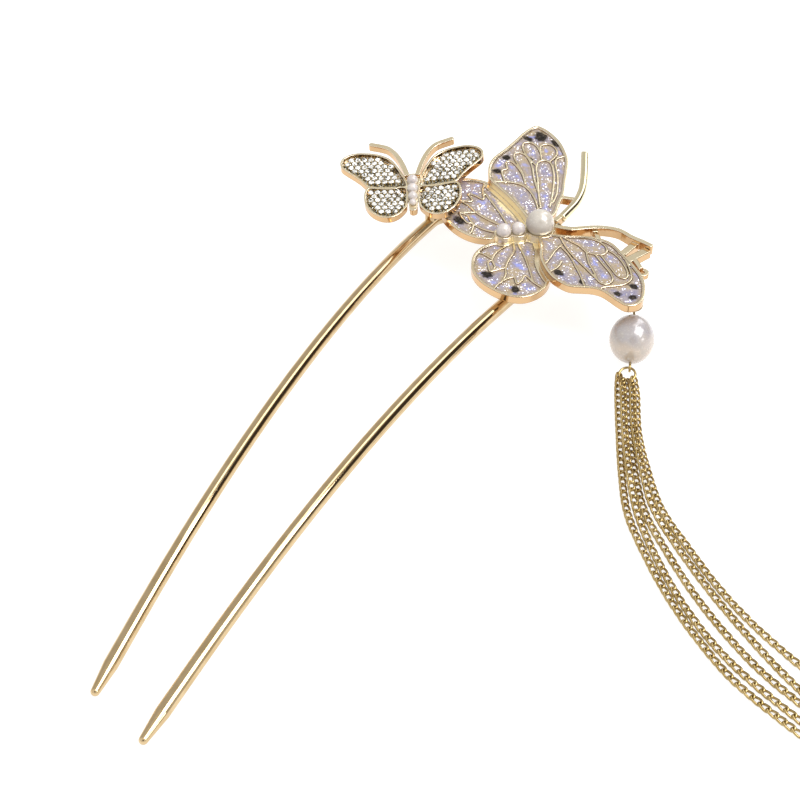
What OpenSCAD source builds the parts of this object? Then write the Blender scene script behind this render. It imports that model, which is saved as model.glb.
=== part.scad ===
// Two-prong hair fork with a large enamelled butterfly, a small stone-set butterfly,
// a pearl drop and a five-strand chain tassel, as it lies on a table.

/* [Fork] */
// Diameter of the fork wire, mm
wire_d = 2.45; // [2.2:0.05:2.6]
// Distance between the prong centres at the tips, mm
tip_gap = 11.6; // [9:0.2:15]
// Angle by which each prong leans outward toward the head, degrees
prong_spread = 3.35; // [2.8:0.05:3.8]
// Length of the straight stretch at each tip, mm
tip_straight = 14; // [10:0.5:18]
// Distance from the middle of the tips to the start of the bend, mm
prong_l = 133.8; // [125:0.2:140]
// Angle at which the prongs come down to the bend, degrees
bend_fall = 13.8; // [12.5:0.1:15]
// How much shorter the left prong is than their mean, and the right one longer, mm
tip_uneven = 2.4; // [0:0.1:3]
// Centre-line radius of the two corners of the bend, mm
bend_radius = 7.5; // [5:0.5:9]
// Length of the taper at each tip, mm
taper_l = 5; // [3:0.5:8]
// Diameter of the rounded end of each tip, mm
tip_d = 1.5; // [1:0.1:1.8]
// Diameter of the posts that carry the butterflies, mm
post_d = 1.8; // [1.4:0.1:2.2]
// Clearance around a post in its socket, mm
post_gap = 0.06; // [0.04:0.01:0.15]
// Wall of a socket, mm
socket_wall = 0.6; // [0.4:0.1:1]

/* [Large butterfly] */
// Distance of its middle to the right of the fork's axis, mm
large_x = 10.55; // [9:0.05:12]
// Distance of its middle before the start of the bend, mm
large_back = 4.1; // [2:0.1:6]
// Height of its middle over the prong under it, mm
large_over = 6.95; // [6.8:0.05:8]
// Turn of its body about the vertical, degrees
large_turn = -46.3; // [-60:1:-30]
// Tilt of its head end, degrees
large_pitch = -2.5; // [-4:0.5:0]
// Tilt toward its right wings, degrees
large_roll = 2.4; // [0:0.2:4]
// Reach of each fore wing from the body's middle, mm
fore_l = 30; // [28:0.5:33]
// Reach of each hind wing from the body's middle, mm
hind_l = 20; // [18:0.5:22]
// Upward tilt of its wings from the body, degrees
wing_lift = 3.8; // [2:0.2:5]
// Height of a wing's rim, mm
wing_t = 1.5; // [1.2:0.1:2]
// Thickness of the floor under the enamel, mm
floor_t = 0.6; // [0.4:0.1:0.8]
// Width of the rim around each wing, mm
rim_w = 0.6; // [0.4:0.05:0.8]
// Width of a vein between the enamel cells, mm
vein_w = 0.36; // [0.3:0.02:0.5]
// Step from the rim down to the veins, mm
vein_drop = 0.12; // [0.05:0.01:0.25]
// Step from the rim down to the enamel, mm
enamel_drop = 0.3; // [0.2:0.05:0.5]
// Clearance around each enamel cell, mm
enamel_gap = 0.05; // [0.03:0.01:0.08]
// Height of the fore wings' rim over the hind wings' rim, mm
fore_step = 1.4; // [1.2:0.1:1.6]
// Width of an antenna, mm
antenna_w = 1; // [0.7:0.05:1.3]
// Height of an antenna, mm
antenna_h = 1.8; // [1.4:0.1:2.2]
// Step from the fore wings' rim up to the antennae, mm
antenna_rise = 0.7; // [0.4:0.1:1]
// Outer diameter of the spare eyelet, mm
eyelet_d = 2.5; // [2:0.1:3]
// Hole of the spare eyelet, mm
eyelet_hole = 0.9; // [0.6:0.1:1.2]

/* [Large pearls] */
// Diameter of the thorax pearl, mm
thorax_d = 5.3; // [4.8:0.1:5.8]
// Height of the thorax pearl's centre over the rims, mm
thorax_z = 1.2; // [1:0.1:1.6]
// Diameter of the front abdomen pearl, mm
abdomen_front_d = 2.6; // [2.2:0.05:2.65]
// Diameter of the rear abdomen pearl, mm
abdomen_rear_d = 2.8; // [2.4:0.05:2.85]
// Height of the abdomen pearls' centres over the rims, mm
abdomen_z = 0.6; // [0.4:0.1:1]
// Distance of the front abdomen pearl behind the thorax pearl, mm
abdomen_front_y = 4.25; // [4.2:0.05:4.6]
// Distance of the rear abdomen pearl behind the front one, mm
abdomen_rear_y = 2.9; // [2.85:0.05:3.2]
// Clearance between a pearl and its seat, mm
seat_gap = 0.05; // [0.03:0.01:0.1]
// Metal around the pearls' seats, mm
seat_wall = 0.4; // [0.3:0.05:0.7]

/* [Small butterfly] */
// Distance of its middle to the left of the fork's axis, mm
small_x = 15.1; // [14:0.05:16]
// Distance of its middle before the start of the bend, mm
small_back = 5.8; // [4:0.1:8]
// Height of its middle over the prong beside it, mm
small_over = 9.20; // [9:0.05:10]
// Turn of its body about the vertical, degrees
small_turn = 27; // [15:1:35]
// Tilt of its head end, degrees
small_pitch = 6.7; // [5:0.5:9]
// Tilt toward its left wings, degrees
small_roll = 5.1; // [4:0.5:8]
// Reach of each fore wing from its middle, mm
small_l = 14; // [12.5:0.5:15]
// Upward tilt of its wings from the body, degrees
small_lift = 2.8; // [2:0.2:5]
// Height of its rim, mm
small_t = 1.3; // [1.2:0.1:1.5]
// Depth of the bed in which the stones are set, mm
bed_depth = 0.75; // [0.7:0.05:0.85]
// Width of its rim, mm
small_rim = 0.4; // [0.3:0.05:0.6]
// Diameter of a stone, mm
stone_d = 1.15; // [1:0.05:1.3]
// Clear distance between two stones, mm
stone_space = 0.13; // [0.12:0.01:0.3]
// Diameter of the first seed pearl, mm
seed_1_d = 2.1; // [1.8:0.05:2.2]
// Diameter of the second seed pearl, mm
seed_2_d = 2.1; // [1.8:0.05:2.2]
// Diameter of the third seed pearl, mm
seed_3_d = 1.8; // [1.5:0.05:2]
// Diameter of the fourth seed pearl, mm
seed_4_d = 1.3; // [1:0.05:1.5]
// Clear distance between two seed pearls, mm
seed_space = 0.3; // [0.1:0.05:0.5]
// Height of the seed pearls' centres over the rim, mm
seed_z = 0.35; // [0.2:0.05:0.6]
// Width of its antennae, mm
small_antenna_w = 0.95; // [0.6:0.05:1.1]
// Step from its rim up to its antennae, mm
small_antenna_rise = 0.4; // [0.2:0.1:0.6]

/* [Drop] */
// Diameter of the drop pearl across its hole, mm
drop_d = 8.2; // [7.5:0.1:9]
// Length of the drop pearl along its hole, mm
drop_long = 9.1; // [8:0.1:10]
// Turn of the drop about the vertical, degrees
drop_turn = 19.5; // [15:0.5:30]
// Lean of the drop pearl's hole from the vertical, degrees
drop_lean = 56; // [48:1:60]
// Diameter of the drop's wires, mm
drop_wire = 0.45; // [0.35:0.05:0.55]
// Centre-line radius of the eyes at the pin's ends, mm
eye_r = 0.6; // [0.55:0.05:0.7]
// Clearance around the pin in the pearl, mm
drill_gap = 0.08; // [0.05:0.01:0.15]
// Centre-line radius of the link between the casting and the pin, mm
link_r = 1.25; // [1.2:0.01:1.3]
// Centre-line radius of the tassel ring, mm
ring_r = 1.45; // [1.3:0.05:2]
// Turn of the tassel ring in the pin's eye, degrees
ring_turn = 15; // [0:1:20]

/* [Tassel] */
// Reach of the tassel from its ring, mm
tassel_l = 95; // [85:1:110]
// Width of a chain, mm
chain_w = 1.4; // [1.2:0.05:1.45]
// Clear distance between two chains that lie side by side, mm
chain_space = 0.12; // [0.1:0.01:0.15]

/* [Hidden] */
$fn = 48;
gold = "gold";
pearl_white = "ivory";
enamel_lilac = "thistle";
stone_clear = "lightcyan";
// Where the frame's origin lies in the plan: middle of the whole outline
mid_x = 31.35;
mid_y = 78.12;
mid = [mid_x, mid_y];
seam_rise = 0.02;
seam_l = 0.5;
spline_steps = 4;
// Half the width of the narrowest stretch of a cell
least_cell = 0.1;
// Share of the rim's width that stands above the veins
rim_top = 0.75;
// Metal left between the bodies' seats and the enamel
cell_margin = 0.3;
// Cover of a fore wing over the hind wing's cells
wing_cover = 0.9;
wire_r = wire_d / 2;

// Outlines and veins, as shares of each wing's reach: outward from the body, toward the head.
FORE_LEFT = [[0.06, -0.02], [0.10, 0.13], [0.20, 0.205], [0.30, 0.275], [0.40, 0.32], [0.50, 0.368],
    [0.60, 0.41], [0.70, 0.424], [0.80, 0.423], [0.90, 0.396], [0.965, 0.36], [0.99, 0.325], [0.975, 0.275],
    [0.93, 0.205], [0.865, 0.125], [0.80, 0.04], [0.735, -0.055], [0.67, -0.11], [0.60, -0.14], [0.53, -0.155],
    [0.45, -0.13], [0.35, -0.095], [0.22, -0.06]];
FORE_RIGHT = [[0.06, -0.02], [0.11, 0.12], [0.15, 0.245], [0.205, 0.33], [0.27, 0.38], [0.36, 0.40],
    [0.46, 0.415], [0.56, 0.425], [0.65, 0.425], [0.74, 0.408], [0.83, 0.37], [0.895, 0.325], [0.925, 0.27],
    [0.915, 0.215], [0.86, 0.182], [0.80, 0.16], [0.735, 0.13], [0.695, 0.085], [0.67, 0.02], [0.645, -0.04],
    [0.595, -0.08], [0.52, -0.11], [0.42, -0.118], [0.30, -0.105], [0.18, -0.06]];
HIND = [[0.10, -0.02], [0.03, -0.20], [0.02, -0.38], [0.03, -0.49], [0.075, -0.60], [0.155, -0.69], [0.26, -0.755],
    [0.38, -0.795], [0.49, -0.803], [0.60, -0.785], [0.72, -0.735], [0.825, -0.665], [0.895, -0.585],
    [0.93, -0.50], [0.925, -0.41], [0.885, -0.31], [0.82, -0.225], [0.72, -0.15], [0.55, -0.06], [0.30, -0.02]];
// Each row is one vein: points from its start to its end.
FORE_LEFT_VEINS = [
    [[0.19, 0.075], [0.34, 0.113], [0.47, 0.153], [0.57, 0.178], [0.63, 0.213], [0.643, 0.255], [0.615, 0.288],
        [0.56, 0.288], [0.46, 0.262], [0.33, 0.207], [0.19, 0.137]],
    [[0.22, 0.165], [0.30, 0.222], [0.40, 0.265], [0.50, 0.298], [0.59, 0.318], [0.64, 0.345], [0.66, 0.42]],
    [[0.625, 0.295], [0.675, 0.355], [0.73, 0.374], [0.78, 0.362], [0.80, 0.325], [0.785, 0.285], [0.72, 0.262],
        [0.64, 0.242]],
    [[0.72, 0.262], [0.79, 0.26], [0.835, 0.235], [0.84, 0.19], [0.80, 0.165], [0.72, 0.162], [0.60, 0.19]],
    [[0.34, 0.113], [0.47, 0.13], [0.60, 0.16], [0.70, 0.16], [0.745, 0.133], [0.748, 0.095], [0.70, 0.075],
        [0.58, 0.078], [0.44, 0.06]],
    [[0.44, 0.06], [0.54, 0.072], [0.64, 0.058], [0.678, 0.035], [0.668, 0.005], [0.61, -0.008], [0.60, -0.045],
        [0.55, -0.057], [0.47, -0.065]],
    [[0.18, 0.055], [0.28, 0.068], [0.37, 0.062], [0.435, 0.032], [0.47, -0.02], [0.49, -0.08], [0.51, -0.16]]];
FORE_RIGHT_VEINS = [
    [[0.10, 0.10], [0.17, 0.135], [0.24, 0.175], [0.32, 0.197], [0.36, 0.25], [0.362, 0.295], [0.33, 0.323],
        [0.28, 0.33], [0.215, 0.305], [0.12, 0.22]],
    [[0.335, 0.335], [0.39, 0.358], [0.47, 0.368], [0.57, 0.362], [0.63, 0.337], [0.64, 0.31], [0.60, 0.283],
        [0.50, 0.275], [0.36, 0.268]],
    [[0.35, 0.235], [0.45, 0.243], [0.57, 0.253], [0.635, 0.24], [0.668, 0.205], [0.665, 0.17], [0.62, 0.15],
        [0.53, 0.16], [0.43, 0.165], [0.31, 0.195]],
    [[0.10, 0.095], [0.23, 0.09], [0.35, 0.10], [0.47, 0.125], [0.62, 0.15]],
    [[0.20, 0.06], [0.33, 0.078], [0.45, 0.072], [0.55, 0.065], [0.685, 0.045]],
    [[0.20, 0.075], [0.26, 0.005], [0.33, -0.055], [0.40, -0.125]],
    [[0.37, 0.01], [0.43, -0.04], [0.47, -0.12]],
    [[0.36, 0.40], [0.50, 0.392], [0.64, 0.362], [0.695, 0.30], [0.70, 0.23], [0.695, 0.17], [0.71, 0.10]]];
HIND_VEINS = [
    [[0.10, -0.24], [0.34, -0.255], [0.55, -0.285], [0.71, -0.315]],
    [[0.08, -0.28], [0.20, -0.315], [0.30, -0.395], [0.41, -0.47], [0.55, -0.525], [0.66, -0.61]],
    [[0.08, -0.33], [0.175, -0.48], [0.28, -0.56], [0.40, -0.575], [0.46, -0.63]],
    [[0.86, -0.25], [0.72, -0.315], [0.60, -0.35], [0.67, -0.41], [0.705, -0.47], [0.60, -0.46], [0.62, -0.555],
        [0.67, -0.635], [0.74, -0.71], [0.76, -0.76]],
    [[0.43, -0.47], [0.455, -0.60], [0.45, -0.64], [0.31, -0.61], [0.28, -0.56], [0.16, -0.62], [0.13, -0.70]]];
SMALL_FORE = [[0.08, 0.06], [0.09, 0.22], [0.135, 0.34], [0.205, 0.50], [0.30, 0.655], [0.44, 0.755],
    [0.60, 0.80], [0.78, 0.808], [0.925, 0.745], [0.99, 0.635], [0.975, 0.515], [0.90, 0.425], [0.80, 0.325],
    [0.71, 0.225], [0.645, 0.13], [0.59, 0.075], [0.35, 0.045]];
SMALL_HIND = [[0.08, 0.06], [0.32, 0.05], [0.57, 0.08], [0.645, 0.02], [0.665, -0.13], [0.64, -0.285],
    [0.57, -0.425], [0.455, -0.525], [0.325, -0.553], [0.21, -0.505], [0.12, -0.40], [0.075, -0.28]];

// Centre lines of the antennae, as shares of the fore wing's reach.
ANTENNA_LEFT = [[0.03, 0.11], [0.06, 0.16], [0.11, 0.22], [0.18, 0.30], [0.285, 0.378], [0.43, 0.447],
    [0.63, 0.525]];
ANTENNA_RIGHT = [[0.03, 0.09], [0.085, 0.18], [0.10, 0.31], [0.13, 0.405], [0.18, 0.47], [0.26, 0.51],
    [0.33, 0.56], [0.38, 0.59]];
SMALL_ANTENNA = [[0.07, 0.27], [0.10, 0.39], [0.135, 0.51], [0.185, 0.645], [0.255, 0.775], [0.355, 0.88],
    [0.56, 0.955]];
// Struts between antenna and fore wing. Columns: one end, other end, width as a multiple of the antenna's.
STRUTS_LEFT = [[[0.225, 0.325], [0.262, 0.245], 0.8]];
STRUTS_RIGHT = [[[0.10, 0.33], [0.205, 0.318], 0.9], [[0.30, 0.53], [0.395, 0.402], 1.4],
    [[0.39, 0.57], [0.465, 0.41], 1.6], [[0.47, 0.45], [0.58, 0.45], 0.9]];
EYELET = [0.585, 0.455];

// Where the drop hangs from the right fore wing, as shares of that wing's reach
LUG = [0.778, 0.337];
// Line of the tassel's middle strand on the table, as shares of the tassel's reach from its start.
MIDDLE = [[0, 0], [0.004, -0.029], [0.049, -0.130], [0.101, -0.227], [0.156, -0.311], [0.219, -0.390],
    [0.293, -0.471], [0.373, -0.537], [0.459, -0.591], [0.560, -0.642]];
// Where that line starts from the far end of the tassel ring, in chain pitches
START = [1.17, -0.33];
// Strands beside that line, in chain pitches, at each of its points. Each row is one strand.
BESIDE = [
    [-1.25, -1.30, -1.37, -1.84, -2.47, -2.47, -2.37, -2.53, -2.76, -2.25],
    [-0.74, -0.77, -0.83, -1.10, -1.51, -1.48, -1.38, -1.45, -1.38, -1.00],
    [-0.22, -0.23, -0.29, -0.36, -0.56, -0.10, 0.36, 0.46, 0.36, 0.55],
    [0.29, 0.30, 0.26, 0.38, 0.39, 1.32, 2.11, 2.34, 2.04, 1.57],
    [0.82, 0.84, 0.80, 1.12, 1.38, 2.34, 3.19, 3.72, 4.08, 4.20]];
// How far each strand's two ends lie along the line from its ends, in chain pitches. Columns: start, far end.
ENDS = [[0.32, 2.50], [0.28, 1.50], [0, 0], [-0.13, -1.30], [-0.39, -3.80]];
// Rise of the second and fourth strand over the table at each of its points, in chain pitches.
STRAND_RISE = [0.93, 0.92, 0.91, 0.86, 0.45, 0, 0, 0, 0, 0];

function at(points, i) = points[max(0, min(len(points) - 1, i))];
function around(points, i) = points[(i + len(points)) % len(points)];
function blend(a, b, c, d, t) =
    0.5 * (2 * b + (c - a) * t + (2 * a - 5 * b + 4 * c - d) * t * t + (3 * b - 3 * c + d - a) * t * t * t);
// Smooth closed line through the points
function loop_line(points, steps) = [for (i = [0:len(points) - 1], k = [0:steps - 1])
    blend(around(points, i - 1), points[i], around(points, i + 1), around(points, i + 2), k / steps)];
// Smooth open line through the points
function open_line(points, steps) = [for (i = [0:len(points) - 2], k = [0:steps - 1])
    blend(at(points, i - 1), points[i], at(points, i + 1), at(points, i + 2), k / steps),
    points[len(points) - 1]];
function unit(v) = v / norm(v);
function heading(points, i) = unit(at(points, i + 1) - at(points, i - 1));
function side_of(points, i, w) = points[i] + w * [-heading(points, i)[1], heading(points, i)[0]];

// Bar of width w along a smooth line
module stroke(points, w) {
    line = open_line(points, spline_steps);
    last = len(line) - 1;
    left = [for (i = [0:last]) side_of(line, i, w / 2)];
    right = [for (i = [last:-1:0]) side_of(line, i, -w / 2)];
    polygon(concat(left, right));
}

// Vein of width w along a smooth line, which may turn sharply
module vein(points, w) {
    line = open_line(points, spline_steps);
    for (i = [0:len(line) - 2])
        polygon([side_of(line, i, w / 2), side_of(line, i + 1, w / 2),
            side_of(line, i + 1, -w / 2), side_of(line, i, -w / 2)]);
}

module outline(table, reach) {
    polygon(loop_line(table * reach, spline_steps));
}

// Plane of the bend, which slopes down to the table
bend_tilt = atan(tan(bend_fall) / cos(prong_spread));
bend_turn = asin(sin(prong_spread) * cos(bend_fall));
bend_z = wire_r + seam_rise / 2 + bend_radius * (1 + sin(bend_turn)) * sin(bend_tilt);
// Arch of a prong: its middle, the angle at which it leaves the tip's straight stretch, and the tip itself
function arch_s(r) = prong_l - r * sin(bend_fall);
function arch_z(r) = bend_z - r * cos(bend_fall);
function tip_rise(r) = acos((wire_r - arch_z(r)) / norm([r, tip_straight])) - atan2(tip_straight, r);
function tip_s(r) = arch_s(r) - r * sin(tip_rise(r)) - tip_straight * cos(tip_rise(r));
// Radius of the arch of a prong that reaches l from its tip to the bend, found in a few steps
function arch_radius(l, r, steps) = steps == 0 ? r : arch_radius(l,
    (l - tip_straight * cos(tip_rise(r))) / (sin(bend_fall) + sin(tip_rise(r))), steps - 1);
left_arch = arch_radius(prong_l - tip_uneven, 2 * prong_l, 6);
right_arch = arch_radius(prong_l + tip_uneven, 2 * prong_l, 6);
// Centre line of a prong at the distance s along it
function prong_z(r, s) = arch_z(r) + sqrt(pow(r, 2) - pow(s - arch_s(r), 2));
function prong_x(s) = tip_gap / 2 + s * sin(prong_spread);
function prong_y(s) = s * cos(prong_spread) + tip_d / 2;

module place() {
    translate([-mid[0], -mid[1], 0])
        children();
}

// Soldered seam between two stretches of wire
module seam() {
    rotate([-90, 0, 0])
        cylinder(d = wire_d + seam_rise, h = seam_l, center = true);
}

module prong(r) {
    start = tip_s(r);
    rise = tip_rise(r);
    translate([prong_x(start), prong_y(start), 0])
        rotate([0, 0, -prong_spread]) {
            translate([0, 0, wire_r])
                rotate([rise - 90, 0, 0]) {
                    sphere(d = tip_d);
                    cylinder(d1 = tip_d, d2 = wire_d, h = taper_l);
                    translate([0, 0, taper_l])
                        cylinder(d = wire_d, h = tip_straight - taper_l);
                }
            translate([0, tip_straight * cos(rise), wire_r + tip_straight * sin(rise)])
                rotate([rise, 0, 0])
                    seam();
            translate([0, prong_l - start, bend_z])
                rotate([-bend_fall, 0, 0])
                    seam();
            translate([0, arch_s(r) - start, arch_z(r)])
                rotate([90, 0, 90])
                    rotate([0, 0, 90 - bend_fall])
                        rotate_extrude(angle = bend_fall + rise, $fn = 360)
                            translate([r, 0])
                                circle(d = wire_d, $fn = 32);
        }
}

module bend_half() {
    corner = [prong_x(prong_l) - bend_radius * cos(bend_turn), bend_radius * sin(bend_turn)];
    translate([0, prong_y(prong_l), bend_z])
        rotate([-bend_tilt, 0, 0]) {
            translate([corner[0], corner[1], 0])
                rotate([0, 0, -bend_turn])
                    rotate_extrude(angle = 90 + bend_turn)
                        translate([bend_radius, 0])
                            circle(d = wire_d, $fn = 32);
            translate([0, corner[1] + bend_radius, 0])
                rotate([0, 90, 0])
                    cylinder(d = wire_d, h = corner[0], $fn = 32);
            translate([corner[0], corner[1] + bend_radius, 0])
                rotate([0, 0, 90])
                    seam();
        }
}

// Middles of the butterflies
large_s = prong_l - large_back;
small_s = prong_l - small_back;
large_y = prong_y(large_s);
small_y = prong_y(small_s);
large_z = prong_z(right_arch, large_s) + large_over;
small_z = prong_z(left_arch, small_s) + small_over;

// Posts. Columns: side of the fork, place along the prong from its butterfly's middle as a share of that
// butterfly's reach, butterfly (0 large, 1 small)
POSTS = [[1, -0.42, 0], [1, -0.19, 0], [-1, 0.31, 1], [-1, 0.48, 1]];
function post_s(p) = p[2] == 0 ? large_s + p[1] * fore_l : small_s + p[1] * small_l;
function post_base(p) = [p[0] * prong_x(post_s(p)), prong_y(post_s(p)),
    prong_z(p[0] > 0 ? right_arch : left_arch, post_s(p))];

module in_large() {
    translate([large_x, large_y, large_z])
        rotate([large_pitch, large_roll, large_turn])
            children();
}

module in_small() {
    translate([-small_x, small_y, small_z])
        rotate([small_pitch, -small_roll, small_turn])
            children();
}

// Height over the table of the underside of the casting that a post carries
function turned(v, a) = [v[0] * cos(a) + v[1] * sin(a), v[1] * cos(a) - v[0] * sin(a)];
function large_under(p) = let (q = turned([post_base(p)[0] - large_x, post_base(p)[1] - large_y], large_turn))
    large_z + hind_z - wing_t + q[0] * (sin(wing_lift) - sin(large_roll)) + q[1] * sin(large_pitch);
function small_under(p) = let (q = turned([post_base(p)[0] + small_x, post_base(p)[1] - small_y], small_turn))
    small_z - small_t + q[0] * (sin(small_roll) + sin(small_lift)) + q[1] * sin(small_pitch);
function post_top(p) = p[2] == 0 ? large_under(p) : small_under(p);
socket_h = 1.1;
socket_d = post_d + 2 * (post_gap + socket_wall);

module post(p) {
    translate(post_base(p))
        cylinder(d = post_d, h = post_top(p) - post_gap - post_base(p)[2]);
}

// Boss under a casting, reaching down around the post
module socket_boss(p) {
    translate([post_base(p)[0], post_base(p)[1], post_top(p) - socket_h])
        cylinder(d = socket_d, h = socket_h + floor_t / 2);
}

module socket_hole(p) {
    translate([post_base(p)[0], post_base(p)[1], post_top(p) - 2 * socket_h])
        cylinder(d = post_d + 2 * post_gap, h = 2 * socket_h);
}

module fork() {
    color(gold)
        place() {
            union() {
                prong(right_arch);
                mirror([1, 0, 0])
                    prong(left_arch);
                bend_half();
                mirror([1, 0, 0])
                    bend_half();
                for (p = POSTS)
                    post(p);
            }
        }
}

// Levels of the large butterfly over its middle plane
fore_z = 0.8;
hind_z = fore_z - fore_step;

module right_wing() {
    rotate([0, -wing_lift, 0])
        children();
}

module left_wing() {
    mirror([1, 0, 0])
        rotate([0, -wing_lift, 0])
            children();
}

// Enamel cells of one wing, clear of rim and veins by g
module cells(table, veins, struts, reach, g) {
    offset(delta = least_cell, chamfer = true)
        offset(delta = -least_cell)
            difference() {
                offset(delta = -rim_w - g)
                    outline(table, reach);
                for (v = veins)
                    vein(v * reach, vein_w + 2 * g);
                for (s = struts)
                    offset(delta = cell_margin + g)
                        stroke([s[0] * reach, s[1] * reach], s[2] * antenna_w);
                circle(r = body_r + cell_margin + g);
            }
}

// Cells of a hind wing, kept clear of the fore wing over it
module hind_cells(fore_table, g) {
    difference() {
        cells(HIND, HIND_VEINS, [], hind_l, g);
        offset(delta = wing_cover + g)
            outline(fore_table, fore_l);
        translate([0, -abdomen_front_y])
            circle(r = tail_r + cell_margin + g);
        translate([0, -abdomen_front_y - abdomen_rear_y])
            circle(r = tail_r + cell_margin + g);
    }
}

body_r = thorax_d / 2 + seat_gap + seat_wall * 0.6;
tail_r = abdomen_rear_d / 2 + seat_gap + seat_wall * 0.75;

// Slab of a wing with its cells sunk into it
module wing_slab(table, reach) {
    difference() {
        linear_extrude(wing_t)
            outline(table, reach);
        translate([0, 0, wing_t - vein_drop])
            linear_extrude(wing_t)
                offset(delta = -rim_w * rim_top)
                    outline(table, reach);
        translate([0, 0, floor_t])
            linear_extrude(wing_t)
                children();
    }
}

module antenna(path, top) {
    translate([0, 0, top - antenna_h])
        linear_extrude(antenna_h) {
            stroke(path * fore_l, antenna_w);
            translate(path[len(path) - 1] * fore_l)
                circle(d = antenna_w, $fn = 24);
        }
}

// Short strut from an antenna to the wing's rim
module strut(from, to, w) {
    translate([0, 0, fore_z - wing_t])
        linear_extrude(wing_t)
            stroke([from * fore_l, to * fore_l], w * antenna_w);
}

module large_body() {
    h = fore_z - hind_z + wing_t;
    translate([0, 0, hind_z - wing_t]) {
        cylinder(r = body_r, h = h);
        translate([0, -abdomen_front_y, 0])
            cylinder(r = tail_r, h = h);
        translate([0, -abdomen_front_y - abdomen_rear_y, 0])
            cylinder(r = tail_r, h = h);
        translate([0, body_r, 0])
            cylinder(r = body_r / 2, h = h);
    }
}

module large_butterfly() {
    color(gold)
        place()
            difference() {
                union() {
                    in_large() {
                        large_body();
                        left_wing() {
                            translate([0, 0, hind_z - wing_t])
                                wing_slab(HIND, hind_l)
                                    hind_cells(FORE_LEFT, 0);
                            translate([0, 0, fore_z - wing_t])
                                wing_slab(FORE_LEFT, fore_l)
                                    cells(FORE_LEFT, FORE_LEFT_VEINS, STRUTS_LEFT, fore_l, 0);
                            antenna(ANTENNA_LEFT, fore_z + antenna_rise);
                            for (s = STRUTS_LEFT)
                                strut(s[0], s[1], s[2]);
                        }
                        right_wing() {
                            translate([0, 0, hind_z - wing_t])
                                wing_slab(HIND, hind_l)
                                    hind_cells(FORE_RIGHT, 0);
                            translate([0, 0, fore_z - wing_t])
                                wing_slab(FORE_RIGHT, fore_l)
                                    cells(FORE_RIGHT, FORE_RIGHT_VEINS, STRUTS_RIGHT, fore_l, 0);
                            antenna(ANTENNA_RIGHT, fore_z + antenna_rise);
                            for (s = STRUTS_RIGHT)
                                strut(s[0], s[1], s[2]);
                            translate([fore_l * EYELET[0], fore_l * EYELET[1], fore_z - wing_t])
                                cylinder(d = eyelet_d, h = wing_t * 0.6);
                        }
                    }
                    for (p = POSTS)
                        if (p[2] == 0)
                            socket_boss(p);
                    drop_lug();
                }
                in_large() {
                    right_wing()
                        translate([fore_l * EYELET[0], fore_l * EYELET[1], fore_z - 2 * wing_t])
                            cylinder(d = eyelet_hole, h = 2 * wing_t);
                    translate([0, 0, fore_z + thorax_z])
                        sphere(d = thorax_d + 2 * seat_gap, $fn = 64);
                    translate([0, -abdomen_front_y, fore_z + abdomen_z])
                        sphere(d = abdomen_front_d + 2 * seat_gap);
                    translate([0, -abdomen_front_y - abdomen_rear_y, fore_z + abdomen_z])
                        sphere(d = abdomen_rear_d + 2 * seat_gap);
                }
                for (p = POSTS)
                    if (p[2] == 0)
                        socket_hole(p);
            }
}

module enamel(z) {
    color(enamel_lilac)
        translate([0, 0, z - wing_t + floor_t + enamel_gap])
            linear_extrude(wing_t - floor_t - enamel_gap - enamel_drop)
                children();
}

module enamel_upper_left() {
    place() in_large() left_wing() enamel(fore_z)
        cells(FORE_LEFT, FORE_LEFT_VEINS, STRUTS_LEFT, fore_l, enamel_gap);
}

module enamel_upper_right() {
    place() in_large() right_wing() enamel(fore_z)
        cells(FORE_RIGHT, FORE_RIGHT_VEINS, STRUTS_RIGHT, fore_l, enamel_gap);
}

module enamel_lower_left() {
    place() in_large() left_wing() enamel(hind_z)
        hind_cells(FORE_LEFT, enamel_gap);
}

module enamel_lower_right() {
    place() in_large() right_wing() enamel(hind_z)
        hind_cells(FORE_RIGHT, enamel_gap);
}

module large_pearl(y, z, d) {
    color(pearl_white)
        place() in_large()
            translate([0, y, fore_z + z])
                sphere(d = d, $fn = 64);
}

module thorax_pearl() {
    large_pearl(0, thorax_z, thorax_d);
}

module abdomen_pearl_front() {
    large_pearl(-abdomen_front_y, abdomen_z, abdomen_front_d);
}

module abdomen_pearl_rear() {
    large_pearl(-abdomen_front_y - abdomen_rear_y, abdomen_z, abdomen_rear_d);
}

// Seed pearls. Columns: distance toward the head, diameter
seed_1_y = seed_2_d / 2 + seed_space + seed_1_d / 2;
seed_3_y = -seed_2_d / 2 - seed_space - seed_3_d / 2;
seed_4_y = seed_3_y - seed_3_d / 2 - seed_space / 2 - seed_4_d / 2;
SEEDS = [[seed_1_y, seed_1_d], [0, seed_2_d], [seed_3_y, seed_3_d], [seed_4_y, seed_4_d]];
small_body_r = seed_2_d / 2 + 4 * seat_gap;

module small_right() {
    rotate([0, -small_lift, 0])
        children();
}

module small_left() {
    mirror([1, 0, 0])
        rotate([0, -small_lift, 0])
            children();
}

module small_wings() {
    difference() {
        translate([0, 0, -small_t])
            linear_extrude(small_t) {
                outline(SMALL_FORE, small_l);
                outline(SMALL_HIND, small_l);
            }
        translate([0, 0, -bed_depth])
            linear_extrude(2 * bed_depth) {
                offset(delta = -small_rim)
                    outline(SMALL_FORE, small_l);
                offset(delta = -small_rim)
                    outline(SMALL_HIND, small_l);
            }
    }
    translate([0, 0, small_antenna_rise - small_t])
        linear_extrude(small_t) {
            stroke(SMALL_ANTENNA * small_l, small_antenna_w);
            translate(SMALL_ANTENNA[len(SMALL_ANTENNA) - 1] * small_l)
                circle(d = small_antenna_w, $fn = 24);
        }
}

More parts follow.
